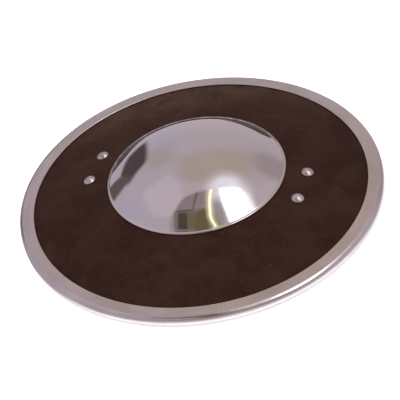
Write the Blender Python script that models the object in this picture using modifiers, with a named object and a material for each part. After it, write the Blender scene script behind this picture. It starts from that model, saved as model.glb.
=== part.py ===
import math

import bmesh
import bpy
from mathutils import Matrix, Vector

# Driving dimensions, in metres. The shield lies on the underside of its rim,
# with +Z out through the boss and the grip along X.
FIT_GAP = 0.0003               # left between pieces that touch

SHIELD_RADIUS = 0.178          # over the steel rim
RIM_WIDTH = 0.0146             # face of the rim, seen from the front
RIM_SHEET = 0.0012             # steel of the rolled channel
RIM_CORNER = 0.0038            # outside corners of the channel

BOARD_THICKNESS = 0.005
SUEDE_THICKNESS = 0.0012
DISH_RISE = 0.0171             # from the brim up to the seat of the boss

BOSS_RADIUS = 0.0869           # over the lip
BOSS_SHEET = 0.0015
BOSS_LIP = 0.0024              # flat lip on the suede
BOSS_EDGE_BEND = 0.071         # radius of the tighter curve round the dome's edge
BOSS_EDGE_SLOPE = math.radians(36)     # where that curve meets the lip
BOSS_DOME_SLOPE = math.radians(23.5)   # where the dome passes into it
BOSS_FOOT = 0.0015             # rounding between curve and lip
HAND_HOLE_LEDGE = 0.0085       # board left inside the edge of the boss

RIVET_FROM_BOSS = 0.0187       # from the edge of the boss out to the rivets
RIVET_SPREAD = 0.0187          # each rivet's distance from the grip's centre line
RIVET_HEAD_RADIUS = 0.006
RIVET_HEAD_HEIGHT = 0.0034
RIVET_SHANK_RADIUS = 0.0025
RIVET_TAIL_RADIUS = 0.0045
RIVET_TAIL_HEIGHT = 0.0018
RIVET_EDGE = 0.0006            # upright edge of head and tail

STRAP_THICKNESS = 0.0025
STRAP_WIDTH = 0.020
STRAP_END_MARGIN = 0.012       # steel left round the rivets
STRAP_END_CORNER = 0.008
STRAP_NECK = 0.006             # rounding where the strap flares into its ends

HANDLE_LENGTH = 0.104
HANDLE_DEPTH = 0.022           # through the shield
HANDLE_BREADTH = 0.030         # across the strap
HANDLE_TAPER = 0.82            # girth of the ends against the middle
HANDLE_END_ROUND = 0.004

# Sides of the turned pieces and points along their curves
ROUND_STEPS = 60
RIVET_STEPS = 14
HANDLE_STEPS = 20
DISH_POINTS = 3
DOME_POINTS = 6
DOME_EDGE_POINTS = 3
CAP_POINTS = 3
HANDLE_POINTS = 6
CORNER_POINTS = 3

# Sizes that follow from them
rim_height = 2 * RIM_SHEET + BOARD_THICKNESS + SUEDE_THICKNESS + 3 * FIT_GAP
rim_inner_radius = SHIELD_RADIUS - RIM_WIDTH
brim_top = rim_height - RIM_SHEET - FIT_GAP
board_radius = SHIELD_RADIUS - RIM_CORNER
hand_hole_radius = BOSS_RADIUS - HAND_HOLE_LEDGE
board_top_depth = SUEDE_THICKNESS + FIT_GAP
board_back_depth = board_top_depth + BOARD_THICKNESS
rivet_reach = BOSS_RADIUS + RIVET_FROM_BOSS
rivet_radius = math.hypot(rivet_reach, RIVET_SPREAD)

# The face is part of a sphere that rises by DISH_RISE between brim and boss
bend_radius = rim_inner_radius - FIT_GAP
height_sum = (bend_radius ** 2 - BOSS_RADIUS ** 2) / DISH_RISE
boss_seat_height = (height_sum + DISH_RISE) / 2
dish_radius = math.hypot(boss_seat_height, BOSS_RADIUS)
dish_center = Vector((0, 0, brim_top + DISH_RISE - boss_seat_height))


def dish_height(radius, depth):
    """Height of the dish at a radius, on the layer that lies depth below the face."""
    return dish_center.z + math.sqrt((dish_radius - depth) ** 2 - radius ** 2)


def dish_layer(depth):
    """Points from the hand hole along the dish, then out over the flat brim."""
    rise = brim_top - depth - dish_center.z
    bend = math.sqrt((dish_radius - depth) ** 2 - rise ** 2)
    step = (bend - hand_hole_radius) / DISH_POINTS
    radii = [hand_hole_radius + step * i for i in range(DISH_POINTS + 1)]
    points = [(radius, dish_height(radius, depth)) for radius in radii]
    return points + [(board_radius, brim_top - depth)]


def arc_points(center, radius, start_slope, end_slope, count):
    """Points down a curve, from one slope to another."""
    slopes = [start_slope + (end_slope - start_slope) * i / count for i in range(count + 1)]
    return [(center[0] + radius * math.sin(a), center[1] + radius * math.cos(a))
            for a in slopes]


def cap_points(radius, height, base_z, count):
    """Points down a shallow cap of this radius and height above base_z."""
    sphere = (radius ** 2 + height ** 2) / (2 * height)
    edge_slope = math.asin(radius / sphere)
    return arc_points((0, base_z + height - sphere), sphere, 0, edge_slope, count)


def round_corner(before, corner, after, radius, count=CORNER_POINTS):
    """Points of the arc that rounds the corner between two straight lines."""
    corner = Vector(corner)
    towards_before = (Vector(before) - corner).normalized()
    towards_after = (Vector(after) - corner).normalized()
    half_angle = towards_before.angle(towards_after) / 2
    bisector = (towards_before + towards_after).normalized()
    center = corner + bisector * (radius / math.sin(half_angle))
    reach = radius / math.tan(half_angle)
    start = corner + towards_before * reach - center
    turn = start.angle_signed(corner + towards_after * reach - center)
    rotations = [Matrix.Rotation(-turn * i / count, 2) for i in range(count + 1)]
    return [tuple(center + rotation @ start) for rotation in rotations]


def rounded_outline(corners):
    """A closed outline from corners of (x, y, radius, points on the arc)."""
    outline = []
    for i, (x, y, radius, count) in enumerate(corners):
        before = corners[i - 1][:2]
        after = corners[(i + 1) % len(corners)][:2]
        outline += round_corner(before, (x, y), after, radius, count)
    return outline


for old in list(bpy.data.objects):
    bpy.data.objects.remove(old, do_unlink=True)

shield_parts = bpy.data.collections.new("buckler_shield")
cutters = bpy.data.collections.new("cutters")
for collection in (shield_parts, cutters):
    bpy.context.scene.collection.children.link(collection)


def material(name, color, roughness, metallic):
    made = bpy.data.materials.new(name)
    made.use_nodes = True
    shader = made.node_tree.nodes["Principled BSDF"]
    shader.inputs["Base Color"].default_value = (*color, 1.0)
    shader.inputs["Roughness"].default_value = roughness
    shader.inputs["Metallic"].default_value = metallic
    made.diffuse_color = (*color, 1.0)
    return made


polished_steel = material("polished_steel", (0.62, 0.59, 0.60), 0.10, 1.0)
forged_steel = material("forged_steel", (0.30, 0.29, 0.29), 0.40, 1.0)
brown_suede = material("brown_suede", (0.040, 0.020, 0.014), 0.95, 0.0)
birch_ply = material("birch_ply", (0.46, 0.31, 0.18), 0.60, 0.0)
oiled_wood = material("oiled_wood", (0.24, 0.12, 0.055), 0.50, 0.0)


def add_piece(name, mesh, finish):
    piece = bpy.data.objects.new(name, mesh)
    mesh.materials.append(finish)
    shield_parts.objects.link(piece)
    return piece


def add_cutter(name, mesh):
    cutter = bpy.data.objects.new(name, mesh)
    cutters.objects.link(cutter)
    cutter.hide_render = True
    cutter.display_type = "WIRE"
    return cutter


def add_boolean(target, cutter, operation):
    modifier = target.modifiers.new(cutter.name, "BOOLEAN")
    modifier.operation = operation
    modifier.solver = "EXACT"
    modifier.object = cutter


def turned_piece(name, profile, steps, finish, closed=False):
    """Turn a profile round Z. The profile runs down the outer side."""
    edges = [(i, i + 1) for i in range(len(profile) - 1)]
    if closed:
        edges.append((len(profile) - 1, 0))
    mesh = bpy.data.meshes.new(name)
    mesh.from_pydata([(radius, 0, z) for radius, z in profile], edges, [])
    piece = add_piece(name, mesh, finish)
    screw = piece.modifiers.new("turn", "SCREW")
    screw.steps = steps
    screw.render_steps = steps
    screw.use_merge_vertices = True
    screw.merge_threshold = 0.00001
    screw.use_smooth_shade = True
    return piece


def prism_mesh(name, outline, half_thickness):
    """A flat outline in XY with its thickness along Z, as a welded mesh."""
    curve = bpy.data.curves.new(name, "CURVE")
    curve.dimensions = "2D"
    curve.fill_mode = "BOTH"
    curve.extrude = half_thickness
    spline = curve.splines.new("POLY")
    spline.points.add(len(outline) - 1)
    for point, (x, y) in zip(spline.points, outline):
        point.co = (x, y, 0, 1)
    spline.use_cyclic_u = True
    source = bpy.data.objects.new(name, curve)
    cutters.objects.link(source)
    bpy.context.view_layer.update()
    evaluated = source.evaluated_get(bpy.context.evaluated_depsgraph_get())
    mesh = bpy.data.meshes.new_from_object(evaluated)
    bpy.data.objects.remove(source, do_unlink=True)
    body = bmesh.new()
    body.from_mesh(mesh)
    bmesh.ops.remove_doubles(body, verts=body.verts, dist=0.000001)
    bmesh.ops.recalc_face_normals(body, faces=body.faces)
    body.to_mesh(mesh)
    body.free()
    return mesh


# Board and suede: two layers of one dish, each closed round its edge
def layer_profile(top_depth, back_depth):
    return dish_layer(top_depth) + dish_layer(back_depth)[::-1]


board = turned_piece("board", layer_profile(board_top_depth, board_back_depth),
                     ROUND_STEPS, birch_ply, closed=True)
suede_facing = turned_piece("suede_facing", layer_profile(0, SUEDE_THICKNESS),
                            ROUND_STEPS, brown_suede, closed=True)


# Rim: a channel rolled over the edge of the board, with rounded lips
def rim_profile():
    lip = 0.4 * RIM_SHEET
    inside = SHIELD_RADIUS - RIM_SHEET
    inside_corner = RIM_CORNER - RIM_SHEET
    return rounded_outline([
        (rim_inner_radius, rim_height, lip, 1),
        (SHIELD_RADIUS, rim_height, RIM_CORNER, CORNER_POINTS),
        (SHIELD_RADIUS, 0, RIM_CORNER, CORNER_POINTS),
        (rim_inner_radius, 0, lip, 1),
        (rim_inner_radius, RIM_SHEET, lip, 1),
        (inside, RIM_SHEET, inside_corner, 1),
        (inside, rim_height - RIM_SHEET, inside_corner, 1),
        (rim_inner_radius, rim_height - RIM_SHEET, lip, 1)])


rim = turned_piece("rim", rim_profile(), ROUND_STEPS, polished_steel, closed=True)


# Boss: a dome that bends down more tightly at its edge, with a lip on the suede
def offset_inward(point, slope_a, slope_b):
    """The point below a bend, one sheet thickness inside both of its slopes."""
    middle = (slope_a + slope_b) / 2
    reach = BOSS_SHEET / math.cos((slope_a - slope_b) / 2)
    return (point[0] - reach * math.sin(middle), point[1] - reach * math.cos(middle))


def boss_profile():
    lip_slope = math.asin(BOSS_RADIUS / dish_radius)
    foot_radius = BOSS_RADIUS - BOSS_LIP
    lip_depth = -(FIT_GAP + BOSS_SHEET)
    foot = (foot_radius, dish_height(foot_radius, lip_depth))
    edge_top = (BOSS_RADIUS, dish_height(BOSS_RADIUS, lip_depth))
    edge_back = (BOSS_RADIUS, dish_height(BOSS_RADIUS, -FIT_GAP))

    edge_center = (foot[0] - BOSS_EDGE_BEND * math.sin(BOSS_EDGE_SLOPE),
                   foot[1] - BOSS_EDGE_BEND * math.cos(BOSS_EDGE_SLOPE))
    dome_center = (0, edge_center[1] - edge_center[0] / math.tan(BOSS_DOME_SLOPE))
    dome_radius = BOSS_EDGE_BEND + edge_center[0] / math.sin(BOSS_DOME_SLOPE)
    outside, inside = [
        arc_points(dome_center, dome_radius - depth, 0, BOSS_DOME_SLOPE, DOME_POINTS)[:-1]
        + arc_points(edge_center, BOSS_EDGE_BEND - depth, BOSS_DOME_SLOPE, BOSS_EDGE_SLOPE,
                     DOME_EDGE_POINTS)[:-1]
        for depth in (0, BOSS_SHEET)]

    outside += round_corner(outside[-1], foot, edge_top, BOSS_FOOT, 1)
    inner_foot = offset_inward(foot, BOSS_EDGE_SLOPE, lip_slope)
    return outside + [edge_top, edge_back, inner_foot] + inside[::-1]


boss = turned_piece("boss", boss_profile(), ROUND_STEPS, polished_steel)

# The strap's ends are flat plates just under the hollow back of the board.
# Their corners come closest to it.
rivet_point = Vector((rivet_reach, RIVET_SPREAD, dish_height(rivet_radius, 0)))
end_slope = math.atan2(rivet_reach, rivet_point.z - dish_center.z)
end_normal = Vector((math.sin(end_slope), 0, math.cos(end_slope)))
end_along = Vector((math.cos(end_slope), 0, -math.sin(end_slope)))
end_half_width = RIVET_SPREAD + STRAP_END_MARGIN
end_corner_reach = STRAP_END_CORNER + math.hypot(STRAP_END_MARGIN - STRAP_END_CORNER,
                                                 end_half_width - STRAP_END_CORNER)
board_back_radius = dish_radius - board_back_depth
end_distance = math.sqrt(board_back_radius ** 2 - end_corner_reach ** 2) - FIT_GAP
end_middle = dish_center + end_normal * end_distance
strap_bend = end_middle - end_along * STRAP_END_MARGIN
strap_top = strap_bend.z


def strap_side():
    """The strap seen from the side: flat across the hole, bent down at its ends."""
    end_top = end_middle + end_along * (2 * STRAP_END_MARGIN)
    end_back = end_top - end_normal * STRAP_THICKNESS
    inner_bend = strap_bend.x - STRAP_THICKNESS * math.tan(end_slope / 2)
    half = [(strap_bend.x, strap_top), (end_top.x, end_top.z), (end_back.x, end_back.z),
            (inner_bend, strap_top - STRAP_THICKNESS)]
    return half + [(-x, z) for x, z in half[::-1]]


def strap_plan():
    """The strap seen from behind: a narrow bar that flares into its ends."""
    neck = strap_bend.x
    tip = end_middle.x + STRAP_END_MARGIN
    half_width = STRAP_WIDTH / 2
    quarter = [(neck, half_width, STRAP_NECK), (neck, end_half_width, STRAP_END_CORNER),
               (tip, end_half_width, STRAP_END_CORNER)]
    right = quarter + [(x, -y, radius) for x, y, radius in quarter[::-1]]
    left = [(-x, -y, radius) for x, y, radius in right]
    return rounded_outline([(x, y, radius, CORNER_POINTS) for x, y, radius in right + left])


grip_strap = add_piece("grip_strap", prism_mesh("grip_strap", strap_side(), end_half_width),
                       forged_steel)
grip_strap.rotation_euler = (math.radians(90), 0, 0)
strap_outline = add_cutter("strap_outline", prism_mesh("strap_outline", strap_plan(), rim_height))
strap_outline.location.z = strap_top
add_boolean(grip_strap, strap_outline, "INTERSECT")


# Rivets: domed heads on the suede, shanks through all layers, tails on the strap
def rivet_places():
    for side_x in (-1, 1):
        for side_y in (-1, 1):
            point = Vector((side_x * rivet_point.x, side_y * rivet_point.y, rivet_point.z))
            yield point, (point - dish_center).normalized()


def rivet_profile():
    axis = (rivet_point - dish_center).normalized()
    lean = axis.angle(end_normal)
    strap_back = (end_distance - STRAP_THICKNESS) / math.cos(lean)
    tail_top = strap_back - dish_radius - FIT_GAP - RIVET_TAIL_RADIUS * math.tan(lean)
    tail_edge = tail_top - RIVET_EDGE
    head_edge = FIT_GAP + RIVET_EDGE
    head = cap_points(RIVET_HEAD_RADIUS, RIVET_HEAD_HEIGHT - RIVET_EDGE, head_edge, CAP_POINTS)
    tail = cap_points(RIVET_TAIL_RADIUS, RIVET_TAIL_HEIGHT - RIVET_EDGE, 0, CAP_POINTS)
    return (head + [(RIVET_HEAD_RADIUS, FIT_GAP), (RIVET_SHANK_RADIUS, FIT_GAP),
                    (RIVET_SHANK_RADIUS, tail_top), (RIVET_TAIL_RADIUS, tail_top)]
            + [(radius, tail_edge - z) for radius, z in tail[::-1]])


for number, (place, axis) in enumerate(rivet_places(), 1):
    rivet = turned_piece(f"rivet_{number}", rivet_profile(), RIVET_STEPS, polished_steel)
    rivet.location = place
    rivet.rotation_euler = axis.to_track_quat("Z", "Y").to_euler()


def rivet_holes_mesh():
    holes = bmesh.new()
    length = 4 * board_back_depth + 2 * RIVET_HEAD_HEIGHT
    for place, axis in rivet_places():
        turn = axis.to_track_quat("Z", "Y").to_matrix().to_4x4()
        radius = RIVET_SHANK_RADIUS + FIT_GAP
        bmesh.ops.create_cone(holes, cap_ends=True, segments=RIVET_STEPS, radius1=radius,
                              radius2=radius, depth=2 * length,
                              matrix=Matrix.Translation(place) @ turn)
    mesh = bpy.data.meshes.new("rivet_holes")
    holes.to_mesh(mesh)
    holes.free()
    return mesh


rivet_holes = add_cutter("rivet_holes", rivet_holes_mesh())
for pierced in (board, suede_facing, grip_strap):
    add_boolean(pierced, rivet_holes, "DIFFERENCE")


# Handle: a swelled oval grip, turned and flattened, slotted for the strap
def handle_profile():
    half_length = HANDLE_LENGTH / 2
    girth = HANDLE_DEPTH / 2
    side = []
    for i in range(HANDLE_POINTS + 1):
        along = 1 - 2 * i / HANDLE_POINTS
        swell = HANDLE_TAPER + (1 - HANDLE_TAPER) * (1 - along ** 2)
        side.append((girth * swell, half_length * along))
    top = round_corner((0, half_length), side[0], side[1], HANDLE_END_ROUND)
    bottom = round_corner(side[-2], side[-1], (0, -half_length), HANDLE_END_ROUND)
    return [(0, half_length)] + top + side[1:-1] + bottom + [(0, -half_length)]


grip_handle = turned_piece("grip_handle", handle_profile(), HANDLE_STEPS, oiled_wood)
grip_handle.rotation_euler = (0, math.radians(90), 0)
grip_handle.scale = (1, HANDLE_BREADTH / HANDLE_DEPTH, 1)
grip_handle.location.z = strap_top - STRAP_THICKNESS / 2

slot = bmesh.new()
bmesh.ops.create_cube(slot, size=1)
bmesh.ops.scale(slot, vec=(2 * HANDLE_LENGTH, STRAP_WIDTH + 2 * FIT_GAP,
                           STRAP_THICKNESS + 2 * FIT_GAP), verts=slot.verts)
slot_mesh = bpy.data.meshes.new("strap_slot")
slot.to_mesh(slot_mesh)
slot.free()
strap_slot = add_cutter("strap_slot", slot_mesh)
strap_slot.location.z = grip_handle.location.z
add_boolean(grip_handle, strap_slot, "DIFFERENCE")
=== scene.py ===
import math

import bmesh
import bpy
from mathutils import Matrix, Vector


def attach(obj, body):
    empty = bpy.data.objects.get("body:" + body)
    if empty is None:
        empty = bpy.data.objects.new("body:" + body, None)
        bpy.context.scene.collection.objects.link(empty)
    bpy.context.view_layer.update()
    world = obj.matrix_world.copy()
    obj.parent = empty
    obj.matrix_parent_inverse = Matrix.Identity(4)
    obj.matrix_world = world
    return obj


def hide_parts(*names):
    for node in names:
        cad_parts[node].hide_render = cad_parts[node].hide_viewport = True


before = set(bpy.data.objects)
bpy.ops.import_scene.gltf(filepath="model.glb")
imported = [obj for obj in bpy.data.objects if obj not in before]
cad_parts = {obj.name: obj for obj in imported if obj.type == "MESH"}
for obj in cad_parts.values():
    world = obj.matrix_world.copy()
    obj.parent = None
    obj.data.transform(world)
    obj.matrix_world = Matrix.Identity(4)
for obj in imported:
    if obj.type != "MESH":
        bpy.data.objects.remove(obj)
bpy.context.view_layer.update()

print("frame loaded,", len(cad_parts), "nodes")

# Sizes that several pieces share, in metres, as in the part's source
shield = {
    "gap": 0.0003,                 # left between pieces that touch
    "outerRadius": 0.178,
    "rimWidth": 0.0146,
    "rimSheet": 0.0012,
    "rimCorner": 0.0038,
    "boardThickness": 0.005,
    "suedeThickness": 0.0012,
    "dishRise": 0.0171,            # from the brim up to the seat of the boss
    "bossRadius": 0.0869,
    "holeLedge": 0.0085,           # board left inside the edge of the boss
    "rivetFromBoss": 0.0187,
    "rivetSpread": 0.0187,
    "rivetHole": 0.0028,
    "turnSteps": 240,              # sides of everything that is turned round the middle
}

gap = shield["gap"]
rimHeight = (2 * shield["rimSheet"] + shield["boardThickness"] + shield["suedeThickness"]
             + 3 * gap)
rimInner = shield["outerRadius"] - shield["rimWidth"]
brimTop = rimHeight - shield["rimSheet"] - gap
boardRadius = shield["outerRadius"] - shield["rimCorner"]
holeRadius = shield["bossRadius"] - shield["holeLedge"]
boardTop = shield["suedeThickness"] + gap              # depths below the face
boardBack = boardTop + shield["boardThickness"]

# The face is part of a ball whose middle lies far below the shield
bendRadius = rimInner - gap
seatHeight = ((bendRadius ** 2 - shield["bossRadius"] ** 2) / shield["dishRise"]
              + shield["dishRise"]) / 2
dishRadius = math.hypot(seatHeight, shield["bossRadius"])
dishMiddle = Vector((0, 0, brimTop + shield["dishRise"] - seatHeight))


def dishHeight(radius, depth):
    return dishMiddle.z + math.sqrt((dishRadius - depth) ** 2 - radius ** 2)


# Shader sums written as Python: a wire is a node socket that takes part in them
class Wire:
    def __init__(self, tree, socket=None):
        self.tree = tree
        self.socket = socket

    def feed(self, socket, value):
        if isinstance(value, Wire):
            self.tree.links.new(value.socket, socket)
        elif socket.type == "RGBA" and len(value) == 3:
            socket.default_value = (*value, 1.0)
        elif socket.type == "VECTOR" and isinstance(value, (int, float)):
            socket.default_value = (value, value, value)
        else:
            socket.default_value = value

    def node(self, kind, settings=None, values=None, output=0):
        made = self.tree.nodes.new("ShaderNode" + kind)
        for name, setting in (settings or {}).items():
            setattr(made, name, setting)
        for name, value in (values or {}).items():
            self.feed(made.inputs[name], value)
        return Wire(self.tree, made.outputs[output] if len(made.outputs) else None)

    def sum(self, operation, *ends):
        isVector = any(isinstance(end, Wire) and end.socket.type != "VALUE" for end in ends)
        kind = "VectorMath" if isVector else "Math"
        return self.node(kind, {"operation": operation}, dict(enumerate(ends)))

    def __add__(self, other):
        return self.sum("ADD", self, other)

    def __radd__(self, other):
        return self.sum("ADD", other, self)

    def __sub__(self, other):
        return self.sum("SUBTRACT", self, other)

    def __rsub__(self, other):
        return self.sum("SUBTRACT", other, self)

    def __mul__(self, other):
        return self.sum("MULTIPLY", self, other)

    def __rmul__(self, other):
        return self.sum("MULTIPLY", other, self)

    def __truediv__(self, other):
        return self.sum("DIVIDE", self, other)

    def step(self, low, high):         # 0 below low, 1 above high, smooth between
        return self.node("MapRange", {"interpolation_type": "SMOOTHSTEP"},
                         {"Value": self, "From Min": low, "From Max": high})

    def band(self, low, high, soft):   # 1 between low and high
        return self.step(low - soft, low + soft) * (1 - self.step(high - soft, high + soft))

    def blend(self, first, second):    # this wire is how much of the second colour
        return self.node("Mix", {"data_type": "RGBA"}, {0: self, 6: first, 7: second}, 2)

    def noise(self, scale, detail=2.0, roughness=0.5, distortion=0.0):
        return self.node("TexNoise", {}, {"Vector": self, "Scale": scale, "Detail": detail,
                                          "Roughness": roughness, "Distortion": distortion})

    def stretch(self, scale, turn=(0, 0, 0)):
        return self.node("Mapping", {}, {"Vector": self, "Scale": scale, "Rotation": turn})

    def part(self, axis):
        return self.node("SeparateXYZ", {}, {0: self}, axis)

    def length(self):
        return self.node("VectorMath", {"operation": "LENGTH"}, {0: self}, "Value")

    def dot(self, other):
        return self.node("VectorMath", {"operation": "DOT_PRODUCT"}, {0: self, 1: other}, "Value")


# Camera, in the place that the photograph was taken from
cameraPlace = {
    "location": (0.44509698, -0.94568371, 0.87674578),
    "right": (0.94162045, 0.29748915, -0.15764241),
    "up": (-0.08343764, 0.65982231, 0.74677485),
    "back": (0.3261734, -0.69002516, 0.64612398),
    "lens": 126.0,
    "sensor": 36.0,
}


def placeCamera(place):
    data = bpy.data.cameras.new("shieldCamera")
    data.lens = place["lens"]
    data.sensor_width = place["sensor"]
    camera = bpy.data.objects.new("shieldCamera", data)
    turn = Matrix((place["right"], place["up"], place["back"])).transposed().to_4x4()
    camera.matrix_world = Matrix.Translation(place["location"]) @ turn
    bpy.context.scene.collection.objects.link(camera)
    bpy.context.scene.camera = camera
    bpy.context.scene.view_settings.view_transform = "Standard"


placeCamera(cameraPlace)
print("camera placed")

# Studio: a room in degrees from straight up. "side" runs to the camera's right and
# "away" runs away from the camera. It isn't plain studio light: the corners of the
# patches and many tones were measured on the boss in the photo, so they are sampled
# values. A few plain soft panels in round tones can replace them.
studio = {
    "sideAxis": (0.9041, 0.4274, 0.0),
    "awayAxis": (-0.4274, 0.9041, 0.0),
    "farWall": (0.605, 0.528, 0.557),
    "leftWall": (0.622, 0.543, 0.614),
    "lowWall": (0.60, 0.545, 0.575),
    "tableTop": (2.0, 1.95, 2.0),
    "nearWall": (0.34, 0.30, 0.31),
    "diffuse": (0.98, 0.94, 0.96),
    "background": (1.0, 1.0, 1.0),
    "keyPower": 42.0,
    "keySide": -6.0,
    "keyAway": 10.0,
    "keyDistance": 3.0,
    "keySize": (1.1, 1.9),
    "cards": [                     # colour, softness, corners counter-clockwise
        # warm and cool patches of the far wall
        ((0.570, 0.525, 0.610), 5.0, [(-6, 62), (-5, 100), (-15, 100), (-17, 62)]),
        ((0.630, 0.535, 0.580), 6.0, [(14, 80), (12, 104), (0, 104), (0, 80)]),
        ((0.540, 0.460, 0.450), 6.0, [(-9, 50), (-9, 70), (-24, 72), (-22, 50)]),
        ((0.730, 0.630, 0.690), 3.5, [(-13, 8), (-8.5, 22), (-8.5, 30), (-14, 40), (-30, 34), (-30, 8)]),
        ((0.570, 0.520, 0.640), 9.0, [(-34, 14), (-34, 34), (-60, 40), (-60, 14)]),
        # beige and grey tones beside the lamp panel, and its haze
        ((0.565, 0.475, 0.415), 6.0, [(28, 26), (29, 50), (10, 55), (-8, 50), (-7, 30), (2, 24)]),
        ((0.640, 0.545, 0.590), 8.0, [(80, -30), (80, 26), (36, 28), (30, -30)]),
        ((0.455, 0.375, 0.380), 7.0, [(90, 28), (90, 53), (30, 53), (29, 36), (38, 28)]),
        ((0.650, 0.550, 0.545), 2.0, [(3, 17), (2, 25), (-7.5, 28), (-8.5, 22), (-8, 15)]),
        ((1.000, 0.925, 0.970), 7.0, [(38, -10), (30, 14), (25, 28), (14, 32), (7, 28), (4, 16), (9, 8)]),
        ((1.250, 1.220, 1.330), 3.5, [(24, 12), (20, 25), (11, 26.5), (8, 19)]),
        # dark patch between the panel and the left, with stripes beside the thin lamp
        ((0.460, 0.400, 0.420), 1.2, [(14, -30), (10.2, 18.5), (-1.5, 18.5), (-9, 17.5),
                                      (-14, 13.5), (-19.5, 6), (-24.5, -3), (-28, -13.5)]),
        ((0.282, 0.231, 0.200), 0.6, [(3, -26), (3, 6), (-16.6, 9.5), (-25, -15), (-12, -24)]),
        ((0.200, 0.147, 0.085), 0.9, [(1, -60), (1, 5), (-5, 4.5), (-9.5, -19.3), (-14, -60)]),
        ((0.091, 0.090, 0.068), 0.6, [(-14.8, -16.7), (-9.4, 5.7), (-14.6, 7.8), (-21.3, -13.8)]),
        ((0.095, 0.070, 0.073), 2.5, [(-14.8, -16.7), (-13, -9), (-19, -7), (-21.3, -13.8)]),
        ((0.225, 0.180, 0.102), 0.6, [(-9.2, -19.2), (-5, 4), (-9.2, 5.5), (-14.3, -16.9)]),
        ((0.384, 0.307, 0.305), 1.5, [(2.5, 8), (4.5, 18.5), (-1.8, 18.5), (-5.5, 6)]),
        ((0.356, 0.289, 0.299), 0.6, [(-6.2, 6.4), (-1.8, 18.3), (-9, 17.2), (-13.5, 13.2),
                                      (-15.6, 9.3)]),
        ((0.100, 0.075, 0.080), 0.4, [(-6.2, 5.8), (-6.2, 6.8), (-15.6, 9.8), (-15.6, 8.8)]),
        ((0.130, 0.098, 0.102), 0.4, [(-5.7, 5.8), (-1.2, 18.4), (-2.1, 18.4), (-6.6, 5.9)]),
        ((0.430, 0.370, 0.230), 2.5, [(13, -40), (9, -8), (7, 0), (3, -2), (3, -40)]),
        ((0.700, 0.690, 0.900), 1.5, [(27, -63), (14, 0), (12.5, 18.5), (9.2, 18.5), (9.2, 7),
                                      (11, 0)]),
        ((1.150, 1.100, 1.180), 5.0, [(16, 11), (16, 24), (6, 24), (5, 11)]),
        # lamp panel, soft on its right
        ((1.500, 1.450, 1.500), 3.5, [(50, -32), (39, -6), (23, 18), (14, 19), (20, -32)]),
        ((3.0, 3.0, 3.1), 0.9, [(46, -31), (35, -7), (21.3, 18.6), (10.6, 18.6), (10.9, 6.7),
                                (12.5, 0), (19.5, -31)]),
        # dark crescents near the edge of the boss, left, far left and far right
        ((0.105, 0.080, 0.080), 2.0, [(-17.5, 78), (-16.5, 88), (-27, 79), (-36, 63), (-34, 50),
                                      (-21.5, 61)]),
        ((0.160, 0.130, 0.135), 3.0, [(-31, 52), (-34, 62.5), (-46, 67), (-57, 69), (-57, 47),
                                      (-38, 48.5)]),
        ((0.110, 0.080, 0.080), 1.5, [(-10, 106), (-14, 118), (-42, 110), (-46, 82), (-34, 82),
                                      (-26, 86), (-18, 96)]),
        ((0.110, 0.085, 0.085), 3.0, [(-44, 84), (-20, 120), (-28, 132), (-80, 112), (-82, 84)]),
        ((0.100, 0.080, 0.080), 1.5, [(39, 82), (44, 120), (0, 120), (8, 106.5), (17.5, 93.5),
                                      (26, 85), (33, 81)]),
    ],
    "tube": (2.6, 2.5, 1.7),       # a thin curved lamp and its glow
    "tubeGlow": (1.06, 0.98, 0.60),
}


def insideCorners(side, away, soft, corners):
    edges = []
    for (s0, a0), (s1, a1) in zip(corners, corners[1:] + corners[:1]):
        run = math.hypot(s1 - s0, a1 - a0)
        depth = (side * ((a0 - a1) / run) + away * ((s1 - s0) / run)
                 + (s0 * (a1 - a0) - a0 * (s1 - s0)) / run)
        edges.append(depth.step(-soft, soft))
    inside = edges[0]
    for edge in edges[1:]:
        inside = inside * edge
    return inside


def lightStudio(look):
    world = bpy.data.worlds.new("studio")
    world.use_nodes = True
    bpy.context.scene.world = world
    tree = world.node_tree
    tree.nodes.clear()
    toward = Wire(tree).node("TexCoord", output="Generated")
    fromTop = toward.part("Z").sum("ARCCOSINE", toward.part("Z")) * (180 / math.pi)
    level = toward * (1.0, 1.0, 0.0)
    level = level.node("VectorMath", {"operation": "NORMALIZE"}, {0: level})
    side = fromTop * level.dot(look["sideAxis"])
    away = fromTop * level.dot(look["awayAxis"])

    folds = (side * 0.35).noise(1.0, 2.0, 0.5) * 0.10 + 0.95      # slightly uneven tone
    room = side.step(-30, 15).blend(look["leftWall"], look["farWall"]) * folds
    room = (1 - away.step(-75, -25)).blend(room, look["nearWall"])
    isNear = 1 - away.step(20, 90)
    room = (fromTop.step(68, 92) * isNear).blend(room, look["lowWall"])
    room = (fromTop.step(128, 140) * isNear).blend(room, look["tableTop"])
    room = fromTop.step(134, 150).blend(room, look["tableTop"])
    for color, soft, corners in look["cards"]:
        room = insideCorners(side, away, soft, corners).blend(room, color)
    lampSide = side - (away + 1) * (away + 1) * 0.0078
    isLit = away.band(-30, 18.6, 0.6)
    room = (lampSide.band(1.4, 5.0, 1.6) * isLit * 0.85).blend(room, look["tubeGlow"])
    lamp = lampSide.band(2.6, 3.7, 0.35) * isLit
    room = lamp.blend(room, look["tube"])

    mirrored = room.node("Background", {}, {"Color": room})
    soft = room.node("Background", {}, {"Color": look["diffuse"]})
    plain = room.node("Background", {}, {"Color": look["background"]})
    isMirror = room.node("LightPath", output="Is Glossy Ray")
    isCamera = room.node("LightPath", output="Is Camera Ray")
    shine = room.node("MixShader", {}, {0: isMirror, 1: soft, 2: mirrored})
    shine = room.node("MixShader", {}, {0: isCamera, 1: shine, 2: plain})
    room.node("OutputWorld", {"is_active_output": True}, {"Surface": shine})


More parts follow.
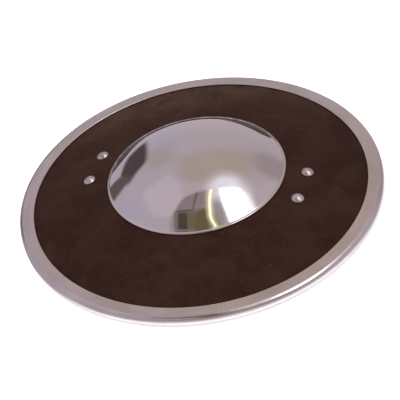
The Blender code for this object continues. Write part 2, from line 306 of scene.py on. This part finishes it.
def addKeyLight(look):
    fall = math.radians(math.hypot(look["keySide"], look["keyAway"]))
    level = (Vector(look["sideAxis"]) * look["keySide"]
             + Vector(look["awayAxis"]) * look["keyAway"]).normalized()
    toward = level * math.sin(fall) + Vector((0, 0, math.cos(fall)))
    data = bpy.data.lights.new("keyLight", "AREA")
    data.shape = "RECTANGLE"
    data.size = look["keySize"][0]
    data.size_y = look["keySize"][1]
    data.energy = look["keyPower"]
    key = bpy.data.objects.new("keyLight", data)
    back = toward.normalized()
    across = (Vector(look["sideAxis"]) - back * back.dot(Vector(look["sideAxis"]))).normalized()
    turn = Matrix((across, back.cross(across), back)).transposed().to_4x4()
    key.matrix_world = Matrix.Translation(back * look["keyDistance"]) @ turn
    key.visible_camera = False
    key.visible_glossy = False
    bpy.context.scene.collection.objects.link(key)


lightStudio(studio)
addKeyLight(studio)
print("studio lit")


# Helpers for the pieces
def addPiece(name, shape, material, replaced):
    mesh = bpy.data.meshes.new(name)
    shape.to_mesh(mesh)
    shape.free()
    for polygon in mesh.polygons:
        polygon.use_smooth = True
    piece = bpy.data.objects.new(name, mesh)
    mesh.materials.append(material)
    bpy.context.scene.collection.objects.link(piece)
    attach(piece, "root")
    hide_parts(replaced)
    return piece


def evenNormals(piece):            # keeps flat faces flat beside their rounded edges
    weighted = piece.modifiers.new("evenNormals", "WEIGHTED_NORMAL")
    weighted.weight = 100
    weighted.keep_sharp = True


def lastVertex(made):
    return [item for item in made["geom_last"] if isinstance(item, bmesh.types.BMVert)][0]


def swingArc(shape, start, middle, angle, steps):
    made = bmesh.ops.spin(shape, geom=[start], cent=middle, axis=(0, 1, 0), angle=angle,
                          steps=steps, use_duplicate=False)
    return lastVertex(made)


def lineOn(shape, start, points):  # a bent line on from start, in radius and height
    corners = []
    for radius, height in points:
        corner = shape.verts.new((radius, 0, height))
        shape.edges.new((start, corner))
        corners.append(corner)
        start = corner
    return corners


def roundCorner(shape, corner, reach, segments=6):
    bmesh.ops.bevel(shape, geom=[corner], offset=reach, offset_type="OFFSET", segments=segments,
                    profile=0.5, affect="VERTICES", material=-1, clamp_overlap=False)


def splitLong(shape, longest):     # extra rings where the outline runs far without one
    for edge in list(shape.edges):
        cuts = int(edge.calc_length() / longest)
        if cuts:
            bmesh.ops.subdivide_edges(shape, edges=[edge], cuts=cuts)


def turnRound(shape, steps, axis=(0, 0, 1)):
    bmesh.ops.spin(shape, geom=shape.verts[:] + shape.edges[:], cent=(0, 0, 0), axis=axis,
                   angle=2 * math.pi, steps=steps, use_merge=True, use_duplicate=False)
    bmesh.ops.remove_doubles(shape, verts=shape.verts, dist=0.000001)
    bmesh.ops.recalc_face_normals(shape, faces=shape.faces)


def cutAway(piece, cutters):       # drills a finished mesh with other meshes
    for number, cutter in enumerate(cutters):
        mesh = bpy.data.meshes.new("cutter")
        cutter.to_mesh(mesh)
        cutter.free()
        tool = bpy.data.objects.new("cutter", mesh)
        bpy.context.scene.collection.objects.link(tool)
        drill = piece.modifiers.new(f"drill{number}", "BOOLEAN")
        drill.object = tool
        drill.solver = "EXACT"
    bpy.context.view_layer.update()
    cut = piece.evaluated_get(bpy.context.evaluated_depsgraph_get())
    finished = bpy.data.meshes.new_from_object(cut)
    for drill in list(piece.modifiers):
        bpy.data.objects.remove(drill.object, do_unlink=True)
        piece.modifiers.remove(drill)
    piece.data = finished
    finished.name = piece.name


def startMaterial(name):
    made = bpy.data.materials.new(name)
    made.use_nodes = True
    shader = made.node_tree.nodes["Principled BSDF"]
    place = Wire(made.node_tree).node("TexCoord", output="Object")
    return made, shader, place


# Rivet places: square to the face, two at each end of the grip
rivetReach = shield["bossRadius"] + shield["rivetFromBoss"]
rivetPoint = Vector((rivetReach, shield["rivetSpread"],
                     dishHeight(math.hypot(rivetReach, shield["rivetSpread"]), 0)))


def rivetTurns():
    for sideX in (-1, 1):
        for sideY in (-1, 1):
            point = Vector((sideX * rivetPoint.x, sideY * rivetPoint.y, rivetPoint.z))
            axis = (point - dishMiddle).normalized()
            yield Matrix.Translation(point) @ axis.to_track_quat("Z", "Y").to_matrix().to_4x4()


def rivetDrills():
    for turn in rivetTurns():
        drill = bmesh.new()
        bmesh.ops.create_cone(drill, cap_ends=True, segments=32, radius1=shield["rivetHole"],
                              radius2=shield["rivetHole"], depth=0.06, matrix=turn)
        yield drill


# Polished steel, shared by the boss, the rim and the rivets
def polishedSteel(name, look, grimeAndShadeFrom=0.0):
    made, shader, place = startMaterial(name)
    shader.inputs["Metallic"].default_value = 1.0
    clouds = place.noise(look["cloudScale"], 3.0, 0.55, 0.4)
    wide = clouds.step(0.30, 0.70)
    streaks = 0.0
    for number, angle in enumerate((0.25, 1.15, 2.05, 2.80)):
        lines = place.stretch((90, 2600 + 300 * number, 90), (0.2 * number, 0.1, angle))
        streaks = streaks + lines.noise(1.0, 2.0, 0.5).step(0.62, 0.74)
    smudges = place.noise(look["smudgeScale"], 4.0, 0.6, 0.8).step(0.45, 0.75)
    color = wide.blend(look["darkTone"], look["lightTone"])
    color = (streaks * look["streakTone"]).blend(color, look["scratchTone"])
    shader.inputs["Roughness"].default_value = look["roughness"]
    rough = look["roughness"] + wide * look["cloudRoughness"] + smudges * look["smudgeRoughness"]
    rough = rough + streaks * look["streakRoughness"]
    height = clouds * look["waves"] - streaks * look["scratchDepth"]
    level = place * (1.0, 1.0, 0.0)
    reach = level.length()
    if "turnTone" in look:             # soft streaks that run round the rim
        spin = level / reach * 4.0 + reach.node("CombineXYZ", {}, {"Z": reach * 170.0})
        turned = spin.noise(1.0, 3.0, 0.5).step(0.30, 0.70)
        color = color * (1 - look["turnTone"] / 2 + turned * look["turnTone"])
        height = height + turned * look["turnWaves"]
    bump = height.node("Bump", {}, {"Strength": 1.0, "Distance": 0.001, "Height": height})
    if grimeAndShadeFrom:                      # grime with painted shade in the lip's corner, far side only, and a dull hollow side
        # grime in the corner of the lip, darkened as painted shade
        darkPatches = reach.step(grimeAndShadeFrom - 0.0008, grimeAndShadeFrom)
        darkPatches = darkPatches * place.noise(130.0, 4.0, 0.6).step(0.25, 0.60)
        # painted shade: kept to the side away from the camera, where the shade falls in the corner
        darkPatches = darkPatches * place.dot(studio["awayAxis"]).step(-0.02, 0.05)
        color = (darkPatches * 0.8).blend(color, look["grimeAndShadeTone"])
        hollow = place.node("Attribute", {"attribute_name": "hollowSide"}, {}, "Fac")
        color = (hollow * (0.45 + smudges * 0.4)).blend(color, look["hollowTone"])
        rough = rough + darkPatches * 0.35 + hollow * (0.22 + wide * 0.08)
    place.feed(shader.inputs["Base Color"], color)
    place.feed(shader.inputs["Roughness"], rough)
    place.feed(shader.inputs["Normal"], bump)
    return made


# Suede face
suede = {
    "bendRounding": 0.0015,
    "edgeRounding": 0.0004,
    "dark": (0.0208, 0.0079, 0.0058),
    "light": (0.0308, 0.0125, 0.0090),
    "olive": (0.0345, 0.0170, 0.0104),
    # painted sheen: a lighter tone for the side away from the camera
    "paintedSheen": (0.0500, 0.0270, 0.0185),
    "speck": (0.14, 0.09, 0.075),
}


def suedeMaterial(look):
    made, shader, place = startMaterial("brownSuede")
    patches = place.noise(34.0, 3.0, 0.55, 0.6)
    strokes = place.noise(85.0, 4.0, 0.6, 1.2)
    grain = place.noise(900.0, 3.0, 0.6)
    fibres = place.noise(3800.0, 2.0, 0.5, 0.5)
    tone = (patches * 0.55 + strokes * 0.45).step(0.36, 0.64)
    color = tone.blend(look["dark"], look["light"])
    color = (place.noise(22.0, 2.0, 0.5, 0.3).step(0.50, 0.68) * 0.6).blend(color, look["olive"])
    # painted sheen: the suede is made lighter towards the side away from the camera, where the light
    # grazes the nap
    paintedSheen = place.dot(studio["awayAxis"]).step(0.075, 0.155) * (0.25 + tone * 0.75)
    color = paintedSheen.blend(color, look["paintedSheen"])
    color = color * (0.72 + grain * 0.36 + fibres * 0.20)
    color = place.noise(620.0, 1.0).step(0.765, 0.80).blend(color, look["speck"])
    height = fibres * 0.35 + grain * 0.5 + strokes * 0.9
    bump = height.node("Bump", {}, {"Strength": 1.0, "Distance": 0.0006, "Height": height})
    place.feed(shader.inputs["Base Color"], color)
    place.feed(shader.inputs["Roughness"], 0.86 + tone * 0.1)
    place.feed(shader.inputs["Normal"], bump)
    shader.inputs["Specular IOR Level"].default_value = 0.06
    shader.inputs["Sheen Weight"].default_value = 0.03
    shader.inputs["Sheen Roughness"].default_value = 0.5
    shader.inputs["Sheen Tint"].default_value = (0.75, 0.55, 0.45, 1.0)
    return made


def layerShape(topDepth, backDepth, bendRounding, edgeRounding):
    # a dished layer with a flat brim: its outline first, then turned
    shape = bmesh.new()
    ends = []
    for depth in (topDepth, backDepth):
        rise = brimTop - depth - dishMiddle.z
        bendAt = math.sqrt((dishRadius - depth) ** 2 - rise ** 2)
        start = shape.verts.new((holeRadius, 0, dishHeight(holeRadius, depth)))
        angle = math.asin(bendAt / (dishRadius - depth)) - math.asin(holeRadius / (dishRadius - depth))
        bend = swingArc(shape, start, dishMiddle, angle, 24)
        edge = lineOn(shape, bend, [(boardRadius, brimTop - depth)])[0]
        ends.append((start, bend, edge))
    shape.edges.new((ends[0][0], ends[1][0]))
    shape.edges.new((ends[0][2], ends[1][2]))
    for start, bend, edge in ends:
        roundCorner(shape, bend, bendRounding)
        roundCorner(shape, start, edgeRounding, 4)
        roundCorner(shape, edge, edgeRounding, 4)
    splitLong(shape, 0.004)
    turnRound(shape, shield["turnSteps"])
    return shape


suedeFace = addPiece("suedeFace", layerShape(0, shield["suedeThickness"], suede["bendRounding"],
                                             suede["edgeRounding"]),
                     suedeMaterial(suede), "suede_facing")
cutAway(suedeFace, list(rivetDrills()))
print("suede laid")

# Board behind the suede: birch plywood, moulded to the dish
board = {
    "bendRounding": 0.0015,
    "edgeRounding": 0.0008,
    "light": (0.52, 0.36, 0.21),
    "dark": (0.36, 0.22, 0.115),
    "edgeDark": (0.24, 0.135, 0.07),
    "glueLine": (0.07, 0.035, 0.02),
    "plies": 5,
}


def plywoodMaterial(look):
    made, shader, place = startMaterial("birchPly")
    wander = place.noise(9.0, 3.0, 0.5) - 0.5
    across = place.part("Y") + wander * 0.012
    rings = (across * 420 + place.stretch((3, 14, 3)).noise(1.0, 3.0, 0.6) * 14)
    rings = rings.sum("SINE", rings) * 0.5 + 0.5
    figure = place.stretch((14, 260, 14)).noise(1.0, 4.0, 0.6)
    pores = place.stretch((180, 3200, 180)).noise(1.0, 2.0, 0.5)
    tone = (rings * 0.35 + figure * 0.65).step(0.25, 0.8)
    face = tone.blend(look["light"], look["dark"]) * (0.86 + pores * 0.26)
    fleck = pores.step(0.66, 0.74) * 0.35
    face = fleck.blend(face, look["edgeDark"])

    depth = dishRadius - (place - tuple(dishMiddle)).length() - boardTop
    layer = depth * (look["plies"] / shield["boardThickness"])
    isCrossPly = layer.sum("PINGPONG", layer, 1.0).step(0.42, 0.58)
    glue = 1 - (layer - layer.sum("ROUND", layer)).sum(
        "ABSOLUTE", layer - layer.sum("ROUND", layer)).step(0.03, 0.09)
    endGrain = place.noise(1600.0, 3.0, 0.6)
    edge = isCrossPly.blend(look["light"], look["edgeDark"]) * (0.7 + endGrain * 0.5)
    edge = (glue * 0.7).blend(edge, look["glueLine"])

    radius = (place * (1.0, 1.0, 0.0)).length()
    isEdge = 1 - radius.step(holeRadius + 0.0006, holeRadius + 0.0009)
    color = isEdge.blend(face, edge)
    darkPatches = place.noise(26.0, 3.0, 0.6).step(0.5, 0.75) * 0.25
    color = darkPatches.blend(color, look["edgeDark"])
    height = pores * 0.4 + figure * 0.3 - isEdge * glue * 0.6
    bump = height.node("Bump", {}, {"Strength": 0.5, "Distance": 0.0004, "Height": height})
    place.feed(shader.inputs["Base Color"], color)
    place.feed(shader.inputs["Roughness"], 0.50 + figure * 0.16 + isEdge * 0.15)
    place.feed(shader.inputs["Normal"], bump)
    return made


plyBoard = addPiece("plyBoard", layerShape(boardTop, boardBack, board["bendRounding"],
                                           board["edgeRounding"]),
                    plywoodMaterial(board), "board")
cutAway(plyBoard, list(rivetDrills()))
print("board made")

# Rim: one channel of sheet steel rolled over the edge
rim = {
    "lipRounding": 0.000552,
    "cloudScale": 16.0,
    "smudgeScale": 42.0,
    "darkTone": (0.552, 0.508, 0.522),
    "lightTone": (0.622, 0.572, 0.584),
    "scratchTone": (0.70, 0.66, 0.67),
    "streakTone": 0.08,
    "turnTone": 0.08,
    "turnWaves": 0.035,
    "roughness": 0.14,
    "cloudRoughness": 0.08,
    "smudgeRoughness": 0.10,
    "streakRoughness": 0.03,
    "waves": 0.16,
    "scratchDepth": 0.001,
}


def rimShape():
    shape = bmesh.new()
    sheet = shield["rimSheet"]
    outer = shield["outerRadius"]
    inside = outer - sheet
    lip = rim["lipRounding"]
    start = shape.verts.new((rimInner, 0, rimHeight))
    corners = lineOn(shape, start, [(outer, rimHeight), (outer, 0), (rimInner, 0),
                                    (rimInner, sheet), (inside, sheet),
                                    (inside, rimHeight - sheet), (rimInner, rimHeight - sheet)])
    shape.edges.new((corners[-1], start))
    insideCorner = shield["rimCorner"] - sheet
    for corner, reach in zip([start] + corners, (lip, shield["rimCorner"], shield["rimCorner"],
                                                 lip, lip, insideCorner, insideCorner, lip)):
        roundCorner(shape, corner, reach, 14 if reach > sheet else 6)
    splitLong(shape, 0.0015)
    turnRound(shape, shield["turnSteps"])
    return shape


steelRim = addPiece("steelRim", rimShape(), polishedSteel("rimSteel", rim), "rim")
evenNormals(steelRim)
print("rim rolled")

# Boss: a spun dome that bends down more tightly at its edge, with a lip on the suede
boss = {
    "sheet": 0.0015,
    "lip": 0.0024,
    "edgeBend": 0.071,
    "edgeSlope": math.radians(36),
    "domeSlope": math.radians(23.5),
    "footReach": 0.0005,
    "edgeReach": 0.0006,
    "cloudScale": 13.0,
    "smudgeScale": 38.0,
    "darkTone": (0.605, 0.575, 0.585),
    "lightTone": (0.645, 0.61, 0.62),
    "scratchTone": (0.74, 0.71, 0.72),
    # grime and painted shade in the lip's corner on the far side
    "grimeAndShadeTone": (0.20, 0.165, 0.15),
    "hollowTone": (0.30, 0.285, 0.28),
    "streakTone": 0.18,
    "roughness": 0.03,
    "cloudRoughness": 0.02,
    "smudgeRoughness": 0.03,
    "streakRoughness": 0.03,
    "waves": 0.08,
    "scratchDepth": 0.001,
}


def innerCorner(point, slopeA, slopeB, sheet):
    middle = (slopeA + slopeB) / 2
    reach = sheet / math.cos((slopeA - slopeB) / 2)
    return (point[0] - reach * math.sin(middle), point[1] - reach * math.cos(middle))


def bossShape(size):
    lipEdge = shield["bossRadius"]
    topDepth = -(gap + size["sheet"])
    footRadius = lipEdge - size["lip"]
    foot = (footRadius, dishHeight(footRadius, topDepth))
    innerFoot = innerCorner(foot, size["edgeSlope"], math.asin(lipEdge / dishRadius), size["sheet"])
    edgeMiddle = Vector((foot[0] - size["edgeBend"] * math.sin(size["edgeSlope"]), 0,
                         foot[1] - size["edgeBend"] * math.cos(size["edgeSlope"])))
    domeMiddle = Vector((0, 0, edgeMiddle.z - edgeMiddle.x / math.tan(size["domeSlope"])))
    domeRadius = size["edgeBend"] + edgeMiddle.x / math.sin(size["domeSlope"])

    shape = bmesh.new()
    ends = []
    for depth in (0, size["sheet"]):
        top = shape.verts.new((0, 0, domeMiddle.z + domeRadius - depth))
        bend = swingArc(shape, top, domeMiddle, size["domeSlope"], 30)
        ends.append(swingArc(shape, bend, edgeMiddle, size["edgeSlope"] - size["domeSlope"], 12))
    corners = lineOn(shape, ends[0], [
        (lipEdge, dishHeight(lipEdge, topDepth)), (lipEdge, dishHeight(lipEdge, -gap)), innerFoot])
    shape.edges.new((corners[-1], ends[1]))
    for corner, reach in zip([ends[0]] + corners, (size["footReach"], size["edgeReach"],
                                                   size["edgeReach"], size["footReach"])):
        roundCorner(shape, corner, reach, 6)
    splitLong(shape, 0.004)
    turnRound(shape, shield["turnSteps"])
    shape.normal_update()
    hollow = shape.verts.layers.float.new("hollowSide")
    for vertex in shape.verts:
        vertex[hollow] = 1.0 if vertex.normal.z < 0 else 0.0
    return shape


lipFrom = shield["bossRadius"] - boss["lip"]
steelBoss = addPiece("steelBoss", bossShape(boss), polishedSteel("bossSteel", boss, lipFrom),
                     "boss")
evenNormals(steelBoss)
print("boss spun")

# Strap across the hand hole, with flared ends that follow the hollow of the board
strap = {
    "thickness": 0.0025,
    "width": 0.020,
    "endMargin": 0.012,
    "endCorner": 0.008,
    "neck": 0.006,
    "edge": 0.0005,
    "bendRoom": 0.002,             # half the length that the bend takes
    "dark": (0.085, 0.082, 0.082),
    "light": (0.22, 0.215, 0.215),
    "worn": (0.36, 0.35, 0.34),
}
endSlope = math.atan2(rivetReach, rivetPoint.z - dishMiddle.z)
endNormal = Vector((math.sin(endSlope), 0, math.cos(endSlope)))
endHalfWidth = shield["rivetSpread"] + strap["endMargin"]
cornerReach = strap["endCorner"] + math.hypot(strap["endMargin"] - strap["endCorner"],
                                              endHalfWidth - strap["endCorner"])
endDistance = math.sqrt((dishRadius - boardBack) ** 2 - cornerReach ** 2) - gap
strapBend = (dishMiddle + endNormal * endDistance
             - Vector((math.cos(endSlope), 0, -math.sin(endSlope))) * strap["endMargin"])


def forgedMaterial(look):
    made, shader, place = startMaterial("forgedSteel")
    shader.inputs["Metallic"].default_value = 1.0
    scale = place.noise(55.0, 5.0, 0.65, 0.4)
    pits = place.noise(420.0, 3.0, 0.6)
    drawn = place.stretch((40, 1500, 400)).noise(1.0, 3.0, 0.6)
    wear = place.node("Attribute", {"attribute_name": "edgeWear"}, {}, "Fac")
    color = (scale * 0.6 + drawn * 0.4).step(0.35, 0.68).blend(look["dark"], look["light"])
    color = (wear * (0.35 + scale * 0.9)).step(0.35, 0.8).blend(color, look["worn"])
    rough = 0.52 - scale * 0.18 + pits.step(0.55, 0.7) * 0.12 - wear * 0.12
    height = scale * 0.5 + drawn * 0.12 - pits.step(0.60, 0.72) * 0.25
    bump = height.node("Bump", {}, {"Strength": 0.8, "Distance": 0.0005, "Height": height})
    place.feed(shader.inputs["Base Color"], color)
    place.feed(shader.inputs["Roughness"], rough)
    place.feed(shader.inputs["Normal"], bump)
    return made


def strapShape(size):
    shape = bmesh.new()
    neck = strapBend.x
    tip = neck + (dishMiddle.x + endNormal.x * endDistance + size["endMargin"] - neck) / endNormal.z
    half = size["width"] / 2
    quarter = [(neck, half), (neck, endHalfWidth), (tip, endHalfWidth)]
    right = quarter + [(x, -y) for x, y in quarter[::-1]]
    outline = right + [(-x, -y) for x, y in right]
    corners = [shape.verts.new((x, y, strapBend.z)) for x, y in outline]
    shape.faces.new(corners)
    for corner in corners:
        isNeck = abs(abs(corner.co.y) - half) < 0.00001
        roundCorner(shape, corner, size["neck"] if isNeck else size["endCorner"], 10)

    # thickness, then rounded edges that remember where they wear
    made = bmesh.ops.extrude_face_region(shape, geom=shape.faces[:])
    lower = [item for item in made["geom"] if isinstance(item, bmesh.types.BMVert)]
    bmesh.ops.translate(shape, verts=lower, vec=(0, 0, -size["thickness"]))
    bmesh.ops.recalc_face_normals(shape, faces=shape.faces)
    wear = shape.verts.layers.float.new("edgeWear")
    rims = [edge for edge in shape.edges if abs(edge.verts[0].co.z - edge.verts[1].co.z) < 0.00001]
    made = bmesh.ops.bevel(shape, geom=rims, offset=size["edge"], offset_type="OFFSET",
                           segments=4, profile=0.5, affect="EDGES", material=-1,
                           clamp_overlap=True)
    for vertex in made["verts"]:
        vertex[wear] = 1.0

    # cuts for the bends, then each end is swung down round its bend
    for side in (-1, 1):
        for step in range(-4, 5):
            at = side * (strapBend.x + step * size["bendRoom"] / 4)
            bmesh.ops.bisect_plane(shape, geom=shape.verts[:] + shape.edges[:] + shape.faces[:],
                                   dist=0.0000001, plane_co=(at, 0, 0), plane_no=(1, 0, 0))
    for at in range(-8, 9):
        bmesh.ops.bisect_plane(shape, geom=shape.verts[:] + shape.edges[:] + shape.faces[:],
                               dist=0.0000001, plane_co=(at * 0.01, 0, 0), plane_no=(1, 0, 0))
    bendLength = 2 * size["bendRoom"]
    bendSize = bendLength / endSlope
    for vertex in shape.verts:
        side = math.copysign(1, vertex.co.x)
        past = abs(vertex.co.x) - (strapBend.x - size["bendRoom"])
        if past > 0:
            angle = endSlope * min(past / bendLength, 1)
            straight = max(past - bendLength, 0)
            below = vertex.co.z - strapBend.z
            reach = bendSize * math.sin(angle) + straight * math.cos(angle) + below * math.sin(angle)
            drop = bendSize * (1 - math.cos(angle)) + straight * math.sin(angle)
            vertex.co.x = side * (strapBend.x - size["bendRoom"] + reach)
            vertex.co.z = strapBend.z - drop + below * math.cos(angle)
    return shape


gripStrap = addPiece("gripStrap", strapShape(strap), forgedMaterial(strap), "grip_strap")
cutAway(gripStrap, list(rivetDrills()))
evenNormals(gripStrap)
print("strap bent")

# Rivets: domed heads on the suede, tails spread over the strap
rivet = {
    "headRadius": 0.006,
    "headHeight": 0.0034,
    "shankRadius": 0.0025,
    "tailRadius": 0.0045,
    "tailHeight": 0.0018,
    "edge": 0.0006,
    "edgeRounding": 0.00025,
    "turnSteps": 48,
    "cloudScale": 120.0,
    "smudgeScale": 300.0,
    "darkTone": (0.46, 0.405, 0.40),
    "lightTone": (0.60, 0.54, 0.53),
    "scratchTone": (0.70, 0.65, 0.65),
    "streakTone": 0.25,
    "roughness": 0.29,
    "cloudRoughness": 0.08,
    "smudgeRoughness": 0.10,
    "streakRoughness": 0.05,
    "waves": 0.12,
    "scratchDepth": 0.003,
}


def rivetShape(size, turn):
    lean = (rivetPoint - dishMiddle).angle(endNormal)
    strapBack = (endDistance - strap["thickness"]) / math.cos(lean)
    tailTop = strapBack - dishRadius - gap - size["tailRadius"] * math.tan(lean)
    shape = bmesh.new()
    ends = []
    for radius, height, base, sign in (
            (size["headRadius"], size["headHeight"] - size["edge"], gap + size["edge"], 1),
            (size["tailRadius"], size["tailHeight"] - size["edge"], tailTop - size["edge"], -1)):
        ball = (radius ** 2 + height ** 2) / (2 * height)
        top = shape.verts.new((0, 0, base + sign * height))
        angle = math.asin(radius / ball)
        ends.append(swingArc(shape, top, (0, 0, base + sign * (height - ball)), sign * angle, 10))
    corners = lineOn(shape, ends[0], [
        (size["headRadius"], gap), (size["shankRadius"], gap), (size["shankRadius"], tailTop),
        (size["tailRadius"], tailTop)])
    shape.edges.new((corners[-1], ends[1]))
    for corner in ends:
        roundCorner(shape, corner, size["edgeRounding"], 4)
    turnRound(shape, size["turnSteps"])
    bmesh.ops.transform(shape, matrix=turn, verts=shape.verts)
    return shape


rivetSteel = polishedSteel("rivetSteel", rivet)
for number, turn in enumerate(rivetTurns(), 1):
    head = addPiece(f"steelRivet{number}", rivetShape(rivet, turn), rivetSteel,
                    f"rivet_{number}")
    evenNormals(head)
print("rivets set")

# Handle: a swelled oval of oiled wood on the strap
handle = {
    "length": 0.104,
    "depth": 0.022,
    "breadth": 0.030,
    "taper": 0.82,
    "endRound": 0.003,
    "turnSteps": 64,
    "light": (0.33, 0.175, 0.08),
    "dark": (0.15, 0.068, 0.028),
    "pore": (0.055, 0.025, 0.012),
}


def woodMaterial(look):
    made, shader, place = startMaterial("oiledWood")
    bent = place + (place.noise(14.0, 2.0, 0.5) - 0.5) * 0.004
    ringAt = (bent * (0.06, 1.0, 1.0) - (0.0, 0.035, -0.05)).length() * 1500
    rings = ringAt.sum("SINE", ringAt) * 0.5 + 0.5
    figure = place.stretch((22, 420, 420)).noise(1.0, 4.0, 0.6)
    pores = place.stretch((150, 2600, 2600)).noise(1.0, 2.0, 0.5).step(0.60, 0.72)
    tone = (rings * 0.45 + figure * 0.55).step(0.22, 0.80)
    color = tone.blend(look["light"], look["dark"])
    color = (pores * 0.6).blend(color, look["pore"])
    handled = place.noise(30.0, 3.0, 0.6).step(0.42, 0.70)
    color = (handled * 0.25).blend(color, look["dark"])
    height = figure * 0.3 - pores * 0.5
    bump = height.node("Bump", {}, {"Strength": 0.5, "Distance": 0.0004, "Height": height})
    place.feed(shader.inputs["Base Color"], color)
    place.feed(shader.inputs["Roughness"], 0.46 + pores * 0.2 - handled * 0.10)
    place.feed(shader.inputs["Normal"], bump)
    shader.inputs["Coat Weight"].default_value = 0.15
    shader.inputs["Coat Roughness"].default_value = 0.35
    return made


def handleShape(size):
    shape = bmesh.new()
    halfLength = size["length"] / 2
    girth = size["depth"] / 2
    swell = girth * (1 - size["taper"])
    bow = (halfLength ** 2 + swell ** 2) / (2 * swell)         # radius of the swelled side
    start = shape.verts.new((-halfLength, 0, girth - swell))
    angle = 2 * math.asin(halfLength / bow)
    end = swingArc(shape, start, (0, 0, girth - bow), angle, 32)
    for corner in (start, end):
        middle = shape.verts.new((corner.co.x, 0, 0))
        shape.edges.new((corner, middle))
    roundCorner(shape, start, size["endRound"], 8)
    roundCorner(shape, end, size["endRound"], 8)
    turnRound(shape, size["turnSteps"], (1, 0, 0))
    bmesh.ops.scale(shape, vec=(1, size["breadth"] / size["depth"], 1), verts=shape.verts)
    bmesh.ops.translate(shape, vec=(0, 0, strapBend.z - strap["thickness"] / 2), verts=shape.verts)
    return shape


def strapSlot():
    slot = bmesh.new()
    bmesh.ops.create_cube(slot, size=1)
    bmesh.ops.scale(slot, vec=(2 * handle["length"], strap["width"] + 2 * gap,
                               strap["thickness"] + 2 * gap), verts=slot.verts)
    bmesh.ops.translate(slot, vec=(0, 0, strapBend.z - strap["thickness"] / 2), verts=slot.verts)
    return slot


woodHandle = addPiece("woodHandle", handleShape(handle), woodMaterial(handle), "grip_handle")
cutAway(woodHandle, [strapSlot()])
evenNormals(woodHandle)
print("handle fitted")

# Floor
floorLook = {
    "size": 12.0,
    "color": (0.95, 0.95, 0.95),
    "shade": (0.90, 0.90, 0.91),
    "glow": 0.25,                  # lifts the shade under the rim
}


def layFloor(look):
    shape = bmesh.new()
    bmesh.ops.create_grid(shape, x_segments=4, y_segments=4, size=look["size"] / 2)
    mesh = bpy.data.meshes.new("floor")
    shape.to_mesh(mesh)
    shape.free()
    floor = bpy.data.objects.new("floor", mesh)
    bpy.context.scene.collection.objects.link(floor)
    made, shader, place = startMaterial("paleFloor")
    shade = place.noise(2.0, 2.0, 0.5) * 0.02
    place.feed(shader.inputs["Base Color"], shade.blend(look["color"], look["shade"]))
    shader.inputs["Roughness"].default_value = 0.9
    shader.inputs["Emission Color"].default_value = (1.0, 1.0, 1.0, 1.0)
    shader.inputs["Emission Strength"].default_value = look["glow"]
    mesh.materials.append(made)
    floor.visible_glossy = False       # the steel mirrors the room alone


layFloor(floorLook)
print("floor laid")
